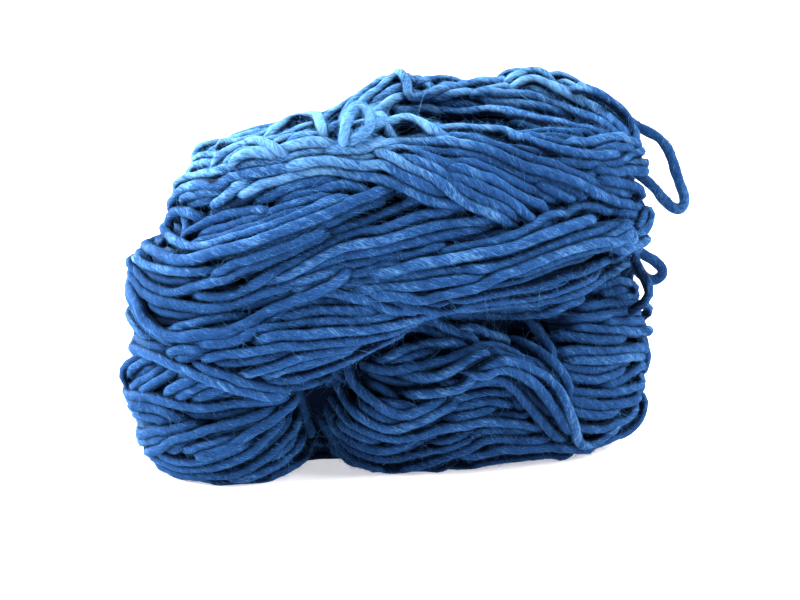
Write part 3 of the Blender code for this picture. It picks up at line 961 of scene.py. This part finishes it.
def carried_frames(line):
    """Two directions square to a line at each of its points, carried along it without a twist."""
    ways = [Vector(d) for d in directions(line)]
    side = ways[0].orthogonal().normalized()
    sides, others = [], []
    for k, way in enumerate(ways):
        if k:
            side = side - way * side.dot(way)
            side.normalize()
        sides.append(tuple(side))
        others.append(tuple(way.cross(side)))
    return np.array(sides), np.array(others)


# painted highlight: how much the crown and the top left are drawn paler
def painted_light_at(points):
    """How much paler the wool is drawn, from 0 to 1, to match how bright the photograph is there."""
    rise = np.clip(((points[..., 2] - PAINTED_LIGHT_LEAN * points[..., 0]) / MM - PAINTED_LIGHT_FROM) / PAINTED_LIGHT_RISE, 0, 1)
    return rise * rise * (3 - 2 * rise)


def spin(lines, yarn, sides, rng, pressed, fuller=None, outward=None, raised=None):
    """The surface of twisted yarn round each line: its points, its faces, and how the fibres look.

    That is how they run, their tone with its painted light and shade, and how open they lie: the painted
    shade's mask.
    """
    angle = np.linspace(0, 2 * math.pi, sides, endpoint=False)
    points, faces, fibre, tone, gap_shade_masks = [], [], [], [], []
    at = 0
    for which, line in enumerate(lines):
        count = len(line)
        run = np.concatenate(([0], np.cumsum(np.linalg.norm(np.diff(line, axis=0), axis=1)))) / MM
        a, b = carried_frames(line)
        phase = rng.uniform(0, 2 * math.pi, 5)
        slub = sum(size * np.sin(run / wave + start) for (size, wave), start in zip(SLUBS, phase))
        radius = yarn.diameter / 2 * pressed * rng.uniform(*THICKNESSES)
        radius = radius * (1 + yarn.unevenness * 0.55 * slub)
        if fuller is not None:
            radius = radius * (1 + 0.1 * fuller[which])
        # the ends are rounded
        radius[[0, -1]] *= 0.35
        radius[[1, -2]] *= 0.85
        turned = angle[None, :] - (run * 2 * math.pi * MM / yarn.twist)[:, None] + phase[3]
        # the strand isn't quite round, and its shape turns with the twist
        shape = radius[:, None] * (1 + 0.04 * np.cos(2 * turned) + 0.03 * np.cos(3 * turned + phase[4]))
        ring = (
            line[:, None, :]
            + (shape * np.cos(angle))[:, :, None] * a[:, None, :]
            + (shape * np.sin(angle))[:, :, None] * b[:, None, :]
        )
        ring[..., 2] = np.maximum(ring[..., 2], 0)
        points.append(ring.reshape(-1, 3))
        # painted shade between turns: the sides of a turn that face into the skein are drawn darker, raised
        # turns less so
        lies = np.ones((count, sides))
        if outward is not None:
            up = outward[which]
            up_a, up_b = ((up * side).sum(axis=1)[:, None] for side in (a, b))
            lies = up_a * np.cos(angle) + up_b * np.sin(angle) + 0.3 * raised[which][:, None]
        gap_shade_masks.append(lies.ravel())
        along = np.broadcast_to(run[:, None] + rng.uniform(0, 500), turned.shape)
        pattern = np.stack((np.cos(turned) * FIBRE_ROUND, np.sin(turned) * FIBRE_ROUND, along), -1)
        fibre.append(pattern.reshape(-1, 3))
        drift = rng.uniform(-0.6, 0.6) + 0.4 * np.sin(run / 14 + phase[2])
        # painted light and shade: a raised turn is drawn paler, a sunk one darker
        if raised is not None:
            drift = drift + RAISED_PAINTED_LIGHT * raised[which]
        # painted highlight on the crown and at the top left
        drift = drift + PAINTED_LIGHT_TURNS * painted_light_at(line)
        tone.append(np.repeat(drift, sides))
        k, s = np.meshgrid(np.arange(count - 1), np.arange(sides), indexing="ij")
        here = at + k * sides + s
        after = at + k * sides + (s + 1) % sides
        faces.append(np.stack((here, after, after + sides, here + sides), -1).reshape(-1, 4))
        # each round end is closed by a row of quads
        for cap in (at + np.arange(sides)[::-1], at + (count - 1) * sides + np.arange(sides)):
            j = np.arange(sides // 2 - 1)
            faces.append(np.stack((cap[j], cap[j + 1], cap[sides - 2 - j], cap[sides - 1 - j]), -1))
        at += count * sides
    looks = {"fibre": np.vstack(fibre), "tone": np.concatenate(tone), "open": np.concatenate(gap_shade_masks)}
    return np.vstack(points), np.vstack(faces), looks


def add_piece(name, points, faces, material, **attributes):
    """A mesh piece that rides on the skein, with its material."""
    mesh = bpy.data.meshes.new(name)
    mesh.vertices.add(len(points))
    mesh.vertices.foreach_set("co", np.asarray(points, np.float32).ravel())
    corners = faces.shape[1]
    mesh.loops.add(faces.size)
    mesh.loops.foreach_set("vertex_index", faces.ravel().astype(np.int32))
    mesh.polygons.add(len(faces))
    mesh.polygons.foreach_set("loop_start", np.arange(0, faces.size, corners, dtype=np.int32))
    mesh.polygons.foreach_set("use_smooth", np.ones(len(faces), bool))
    for key, values in attributes.items():
        kind = "FLOAT_VECTOR" if values.ndim == 2 else "FLOAT"
        layer = mesh.attributes.new(key, kind, "POINT")
        layer.data.foreach_set("vector" if values.ndim == 2 else "value", values.astype(np.float32).ravel())
    mesh.update(calc_edges=True)
    mesh.validate()
    mesh.materials.append(material)
    piece = bpy.data.objects.new(name, mesh)
    bpy.context.scene.collection.objects.link(piece)
    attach(piece, "root")
    return piece


def add_node(tree, kind, inputs=None, **settings):
    """A node with its settings, and its inputs set or linked."""
    node = tree.nodes.new(kind)
    for key, value in settings.items():
        setattr(node, key, value)
    for key, value in (inputs or {}).items():
        if isinstance(value, bpy.types.NodeSocket):
            tree.links.new(value, node.inputs[key])
        else:
            node.inputs[key].default_value = value
    return node


def remap(tree, value, low, high, to_low=0.0, to_high=1.0, **settings):
    """A value between low and high, carried over to another range."""
    inputs = {"Value": value, "From Min": low, "From Max": high, "To Min": to_low, "To Max": to_high}
    return add_node(tree, "ShaderNodeMapRange", inputs, **settings).outputs[0]


def blend(tree, share, low, high):
    """A colour between two others."""
    return add_node(tree, "ShaderNodeMix", {0: share, 6: low, 7: high}, data_type="RGBA").outputs[2]


def woollen_yarn(yarn):
    """Woollen-spun wool: short fibres laid round the strand in one loose twist, dyed in the hank.

    The eye sees fine slanting fibres, a soft bloom at grazing angles and hardly any gloss.
    """
    made = bpy.data.materials.get("woollen_yarn")
    if made:
        return made
    made = bpy.data.materials.new("woollen_yarn")
    made.use_nodes = True
    tree = made.node_tree
    tree.nodes.clear()
    fibre = add_node(tree, "ShaderNodeAttribute", attribute_name="fibre")
    tone = add_node(tree, "ShaderNodeAttribute", attribute_name="tone")
    # wool fibres are 0.03 mm thick; they are drawn about 0.45 mm apart, as locks of fibres, to show here
    along = add_node(
        tree, "ShaderNodeVectorMath", {0: fibre.outputs["Vector"], 1: (1, 1, 0.3)}, operation="MULTIPLY"
    )
    locks = add_node(
        tree, "ShaderNodeTexNoise",
        {"Vector": along.outputs[0], "Scale": 2.2, "Detail": 2.0, "Roughness": 0.6},
    )
    # slubs: places 6 to 10 mm long where the fibres lie thicker and take more light, drawn lighter as
    # painted light
    slubs = add_node(tree, "ShaderNodeTexNoise", {"Vector": along.outputs[0], "Scale": 0.4, "Detail": 1.0})
    lean = remap(tree, locks.outputs["Fac"], 0.3, 0.7, 0.15, 0.72)
    swell = remap(tree, slubs.outputs["Fac"], 0.3, 0.7, -0.1, 0.25)
    shade = add_node(tree, "ShaderNodeMath", {0: lean, 1: swell}, operation="ADD")
    # the tone holds painted light and shade besides the wool's own drift
    dyed = add_node(
        tree, "ShaderNodeMath", {0: tone.outputs["Fac"], 1: 0.2, 2: shade.outputs[0]},
        operation="MULTIPLY_ADD",
    )
    colour = blend(tree, dyed.outputs[0], yarn.deep_and_shade_colour, yarn.colour)
    # the lightest locks are paler still, as the photograph's brightest yarn is
    # this also draws the painted highlight that the tone holds
    colour = blend(tree, remap(tree, dyed.outputs[0], 0.7, 1.5), colour, yarn.pale_and_highlight_colour)
    # painted shade: between the turns little light comes in, and the wool there is drawn darker
    lies = add_node(tree, "ShaderNodeAttribute", attribute_name="open")
    gap_shade_mask = remap(tree, lies.outputs["Fac"], 0.05, 0.85, interpolation_type="SMOOTHSTEP")
    colour = blend(tree, gap_shade_mask, yarn.painted_gap_shade_colour, colour)
    ridges = add_node(
        tree, "ShaderNodeBump", {"Height": locks.outputs["Fac"], "Strength": 0.8, "Distance": 0.3 * MM}
    )
    surface = add_node(
        tree, "ShaderNodeBsdfPrincipled",
        {
            "Base Color": colour, "Roughness": 0.7, "IOR": 1.15, "Specular IOR Level": 0.3,
            "Sheen Weight": 0.15, "Sheen Roughness": 0.4, "Sheen Tint": linear("70C4F8"),
            "Normal": ridges.outputs[0],
        },
    )
    out = add_node(tree, "ShaderNodeOutputMaterial", {"Surface": surface.outputs[0]})
    out.is_active_output = True
    return made


def loose_fibre(yarn):
    """Single wool fibres that stand off the yarn: thin, pale against the light and matt."""
    made = bpy.data.materials.new("loose_fibre")
    made.use_nodes = True
    tree = made.node_tree
    tree.nodes.clear()
    tone = add_node(tree, "ShaderNodeAttribute", attribute_name="tone")
    colour = blend(tree, tone.outputs["Fac"], yarn.colour, yarn.halo_colour)
    surface = add_node(
        tree, "ShaderNodeBsdfPrincipled",
        {
            "Base Color": colour, "Roughness": 0.7, "IOR": 1.15, "Specular IOR Level": 0.5,
            "Sheen Weight": 0.2, "Sheen Roughness": 0.5, "Sheen Tint": linear("8CCAF6"),
        },
    )
    add_node(tree, "ShaderNodeOutputMaterial", {"Surface": surface.outputs[0]})
    return made


def wind_on(context):
    """The yarn's settings, and the turns wound with them."""
    yarn = context.scene.skein_yarn
    return (yarn, *wound(round(yarn.diameter * yarn.pressed, 6), round(yarn.spacing, 6)))


class SKEIN_OT_outer_turns(bpy.types.Operator):
    """Winds the turns that show, in four pieces"""

    bl_idname = "skein.outer_turns"
    bl_label = "Outer turns"

    def execute(self, context):
        yarn, outer, normals, _, fuller = wind_on(context)
        rng = np.random.default_rng(SEED + 1)
        skin = skin_of_skein()
        raised = []
        for line in outer:
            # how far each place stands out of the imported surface, of half the yarn's diameter
            out = np.array([skin.height(p) for p in line])
            raised.append(np.clip((out + yarn.diameter * 0.42) / (yarn.diameter * 0.5), -1, 0.4))
        # the turns are shared out from left to right, as much yarn to each piece
        order = sorted(range(len(outer)), key=lambda k: float(np.mean(outer[k][:, 0])))
        total, last = sum(len(line) for line in outer), len(OUTER_PIECES) - 1
        groups, run = [[] for _ in OUTER_PIECES], 0
        for k in order:
            groups[min(last, int(run / total * len(OUTER_PIECES)))].append(k)
            run += len(outer[k])
        for name, group in zip(OUTER_PIECES, groups):
            points, faces, looks = spin(
                [outer[k] for k in group], yarn, 8, rng, yarn.pressed, [fuller[k] for k in group],
                [normals[k] for k in group], [raised[k] for k in group],
            )
            piece = add_piece(name, points, faces, woollen_yarn(yarn), **looks)
            if name == "turns_mid_left":
                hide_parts("skein")
        return {"FINISHED"}


class SKEIN_OT_inner_turns(bpy.types.Operator):
    """Winds the turns that show only between others"""

    bl_idname = "skein.inner_turns"
    bl_label = "Inner turns"

    def execute(self, context):
        yarn, _, _, beneath, _ = wind_on(context)
        rng = np.random.default_rng(SEED + 2)
        lines = [evenly(line, 2 * STEP) for line in beneath]
        points, faces, looks = spin(lines, yarn, 6, rng, yarn.pressed)
        # painted shade: the inner turns are drawn darker
        looks["tone"] -= INNER_SHADE_TONE
        looks["open"] -= INNER_SHADE_OPEN
        add_piece("inner_turns", points, faces, woollen_yarn(yarn), **looks)
        return {"FINISHED"}


class SKEIN_OT_packed_middle(bpy.types.Operator):
    """Fills the middle with the mass of packed turns, drawn in painted shade, so that nothing shows through
    """

    bl_idname = "skein.packed_middle"
    bl_label = "Packed middle"

    def execute(self, context):
        yarn = context.scene.skein_yarn
        verts, tris = skin_of_skein().coarse
        points = verts - upright(verts, tris) * (yarn.diameter * 0.5 + yarn.spacing * MIDDLE_DEPTH)
        for _ in range(4):
            points = beside(points, tris)
        points[:, 2] = np.maximum(points[:, 2], yarn.diameter)
        # painted shade: the middle is drawn in the gap colour
        deep = {"tone": np.full(len(points), MIDDLE_SHADE_TONE), "open": np.full(len(points), MIDDLE_SHADE_OPEN)}
        add_piece("packed_middle", points, tris, woollen_yarn(yarn), fibre=points / MM, **deep)
        return {"FINISHED"}


class SKEIN_OT_loose_turns(bpy.types.Operator):
    """Makes the four stretches of yarn that stand off the skein"""

    bl_idname = "skein.loose_turns"
    bl_label = "Loose turns"

    def execute(self, context):
        yarn = context.scene.skein_yarn
        rng = np.random.default_rng(SEED + 3)
        for node, route in LOOSE_TURNS.items():
            points, faces, looks = spin([set_down(route, 120, MM)], yarn, 12, rng, LOOSE_THICK)
            piece = add_piece(node + "_yarn", points, faces, woollen_yarn(yarn), **looks)
            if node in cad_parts:
                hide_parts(node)
        return {"FINISHED"}


def ribbons(spine, aim, wide, rng):
    """Thin pointed strips along each row of points, four or more points to a strip."""
    count, places, _ = spine.shape
    side = np.cross(aim, rng.normal(0, 1, (count, 3)))
    side /= np.maximum(np.linalg.norm(side, axis=1), 1e-9)[:, None]
    share = np.linspace(1.0, 0.5, places - 2)
    half = side[:, None] * wide[:, None, None] * 0.5 * share[None, :, None]
    middle = np.stack((spine[:, 1:-1] + half, spine[:, 1:-1] - half), axis=2).reshape(count, -1, 3)
    points = np.concatenate((spine[:, :1], middle, spine[:, -1:]), axis=1)
    last = 2 * places - 3
    faces = [(0, 1, 2), (last - 2, last, last - 1)]
    for k in range(1, last - 2, 2):
        faces += [(k, k + 2, k + 1), (k + 1, k + 2, k + 3)]
    return points, np.array(faces)


class SKEIN_OT_halo(bpy.types.Operator):
    """Grows the loose fibres that stand off the yarn: a short dense nap, and long single ones"""

    bl_idname = "skein.halo"
    bl_label = "Halo of fibres"

    def execute(self, context):
        yarn, outer, normals, _, _ = wind_on(context)
        rng = np.random.default_rng(SEED + 4)
        skin = skin_of_skein()
        lines, outward, thick = list(outer), list(normals), [yarn.pressed] * len(outer)
        for route in LOOSE_TURNS.values():
            line = set_down(route, 120)
            # a loose stretch bears fibres on all its sides
            for up in ((0.0, -1.0, 0.0), (0.3, 0.0, 1.0), (0.0, 1.0, 0.0), (1.0, 0.0, -0.4)):
                lines.append(line)
                outward.append(np.tile(up, (len(line), 1)))
                thick.append(LOOSE_THICK)
        centre, up = np.vstack(lines), np.vstack(outward)
        radius = np.repeat(thick, [len(line) for line in lines]) * yarn.diameter / 2
        way = np.vstack([directions(line) for line in lines])
        height = np.array([skin.height(p) for p in centre])
        showing = np.flatnonzero(height > -yarn.diameter * 0.75)
        low = np.array(CAD_BOX[0]) - (STRAY, STRAY, -0.1 * MM)
        high = np.array(CAD_BOX[1]) + STRAY
        material = loose_fibre(yarn)
        # how many fibres, pieces, and places along a fibre; how short and how long a fibre may be and how
        # wide it is, in millimetres; how much it lifts and curls
        for kind, count, pieces, places, shortest, longest, wide, lift, curl in (
            ("nap", yarn.nap_fibres, 3, 3, 0.9, 2.6, 0.09, 0.6, 0.25),
            ("halo", yarn.halo_fibres, 2, 6, 1.6, 8.0, 0.07, 0.6, 0.6),
        ):
            pick = rng.choice(showing, count)
            ahead, r = way[pick], radius[pick][:, None]
            across = np.cross(ahead, up[pick])
            across /= np.maximum(np.linalg.norm(across, axis=1), 1e-9)[:, None]
            out = np.cross(across, ahead)
            # a fibre leaves the turn on its outer side, mostly
            lean = rng.normal(0, 0.8, (count, 1))
            away = out * np.cos(lean) + across * np.sin(lean)
            # fibres follow the twist, one way or the other, and lift off it
            slant = math.pi * yarn.diameter / yarn.twist
            aim = ahead + np.cross(ahead, away) * (slant + rng.normal(0, 0.35, (count, 1)))
            aim = aim * rng.choice((-1.0, 1.0), (count, 1)) + away * lift * rng.exponential(1, (count, 1))
            aim /= np.linalg.norm(aim, axis=1)[:, None]
            start = centre[pick] + away * r * 0.97 + ahead * rng.uniform(-1, 1, (count, 1)) * MM
            length = (shortest + (longest - shortest) * rng.random((count, 1)) ** 2.5) * MM
            u = np.linspace(0, 1, places)[None, :, None]
            bend, sway = rng.normal(0, curl, (2, count, 1, 3))
            phase = rng.uniform(0, 2 * math.pi, (count, 1, 1))
            spine = start[:, None] + length[:, None] * (
                aim[:, None] * u + (bend - away[:, None] * 0.12) * u**2
                + sway * 0.25 * np.sin(5 * u + phase) * u
            )
            spine = np.clip(spine, low, high)
            points, faces = ribbons(spine, aim, wide * MM * rng.uniform(0.6, 1.2, count), rng)
            tone = rng.random(count) ** 1.5 * (1.0 if kind == "halo" else 0.5)
            corners = points.shape[1]
            for name, part in zip("abc", np.array_split(np.arange(count), pieces)):
                block = (faces[None] + corners * np.arange(len(part))[:, None, None]).reshape(-1, 3)
                # painted highlight: the loose fibres on the crown and at the top left are drawn paler
                shade = tone[part] + PAINTED_LIGHT_FIBRES * painted_light_at(start[part])
                add_piece(
                    kind + "_" + name, points[part].reshape(-1, 3), block, material,
                    tone=np.repeat(shade, corners),
                )
        return {"FINISHED"}


class SKEIN_OT_stage(bpy.types.Operator):
    """Sets up the white table, the soft light and the camera"""

    bl_idname = "skein.stage"
    bl_label = "Stage"

    def execute(self, context):
        stage = context.scene.skein_stage
        scene = context.scene
        half = 4  # of the table, in metres
        mesh = bpy.data.meshes.new("table")
        corners = [(-half, -half, 0), (half, -half, 0), (half, half, 0), (-half, half, 0)]
        mesh.from_pydata(corners, [], [(0, 1, 2, 3)])
        table = bpy.data.objects.new("table", mesh)
        scene.collection.objects.link(table)
        # matt white card; it glows a little, as the photograph's overexposed table does
        card = bpy.data.materials.new("white_card")
        card.use_nodes = True
        surface = card.node_tree.nodes["Principled BSDF"]
        surface.inputs["Base Color"].default_value = stage.floor_colour
        surface.inputs["Roughness"].default_value = 0.8
        surface.inputs["Emission Color"].default_value = stage.floor_colour
        surface.inputs["Emission Strength"].default_value = stage.glow
        mesh.materials.append(card)
        world = bpy.data.worlds.new("studio")
        world.use_nodes = True
        tree = world.node_tree
        way = add_node(tree, "ShaderNodeTexCoord")
        height = add_node(tree, "ShaderNodeSeparateXYZ", {0: way.outputs["Generated"]})
        strength = remap(tree, height.outputs["Z"], 0.02, 0.09, stage.horizon, stage.sky)
        tree.links.new(strength, tree.nodes["Background"].inputs["Strength"])
        scene.world = world
        aim = Vector((0, 0, 0.05))
        for name, kind, power, place in (
            ("key", "AREA", stage.key, (-1.04, 0.0, 0.65)),
            ("rim", "SUN", stage.rim, (-0.74, 0.74, 0.35)),
            ("top", "SUN", stage.top, (-0.25, 0.0, 1.25)),
            ("fill", "SUN", stage.fill, (0.98, -0.2, 0.74)),
        ):
            lamp = bpy.data.lights.new(name, kind)
            lamp.energy = power
            if kind == "AREA":
                lamp.size = 0.9
            else:
                lamp.angle = math.radians(42)
            light = bpy.data.objects.new(name, lamp)
            light.location = place
            light.rotation_euler = (aim - light.location).to_track_quat("-Z", "Y").to_euler()
            scene.collection.objects.link(light)
        eye, _, _, forward = view_axes()
        lens = bpy.data.cameras.new("camera")
        lens.lens, lens.sensor_width = LENS, SENSOR
        camera = bpy.data.objects.new("camera", lens)
        camera.location = eye
        camera.rotation_euler = forward.to_track_quat("-Z", "Y").to_euler()
        scene.collection.objects.link(camera)
        scene.camera = camera
        scene.view_settings.view_transform = "Standard"
        # the photograph's contrast
        scene.view_settings.gamma = 0.83
        return {"FINISHED"}


OPERATORS = (
    SKEIN_OT_stage, SKEIN_OT_outer_turns, SKEIN_OT_inner_turns, SKEIN_OT_packed_middle,
    SKEIN_OT_loose_turns, SKEIN_OT_halo,
)


class SKEIN_PT_panel(bpy.types.Panel):
    """The skein's pieces and settings"""

    bl_idname = "SKEIN_PT_panel"
    bl_label = "Skein"
    bl_space_type = "VIEW_3D"
    bl_region_type = "UI"
    bl_category = "Skein"

    def draw(self, context):
        for settings in (context.scene.skein_yarn, context.scene.skein_stage):
            for name in settings.__annotations__:
                self.layout.prop(settings, name)
        for operator in OPERATORS:
            self.layout.operator(operator.bl_idname)


CLASSES = (SkeinYarn, SkeinStage, *OPERATORS, SKEIN_PT_panel)


def register():
    for made in CLASSES:
        bpy.utils.register_class(made)
    bpy.types.Scene.skein_yarn = PointerProperty(type=SkeinYarn)
    bpy.types.Scene.skein_stage = PointerProperty(type=SkeinStage)


def unregister():
    del bpy.types.Scene.skein_yarn, bpy.types.Scene.skein_stage
    for made in reversed(CLASSES):
        bpy.utils.unregister_class(made)


def main():
    register()
    for operator in OPERATORS:
        group, name = operator.bl_idname.split(".")
        getattr(getattr(bpy.ops, group), name)()


if __name__ == "__main__":
    main()
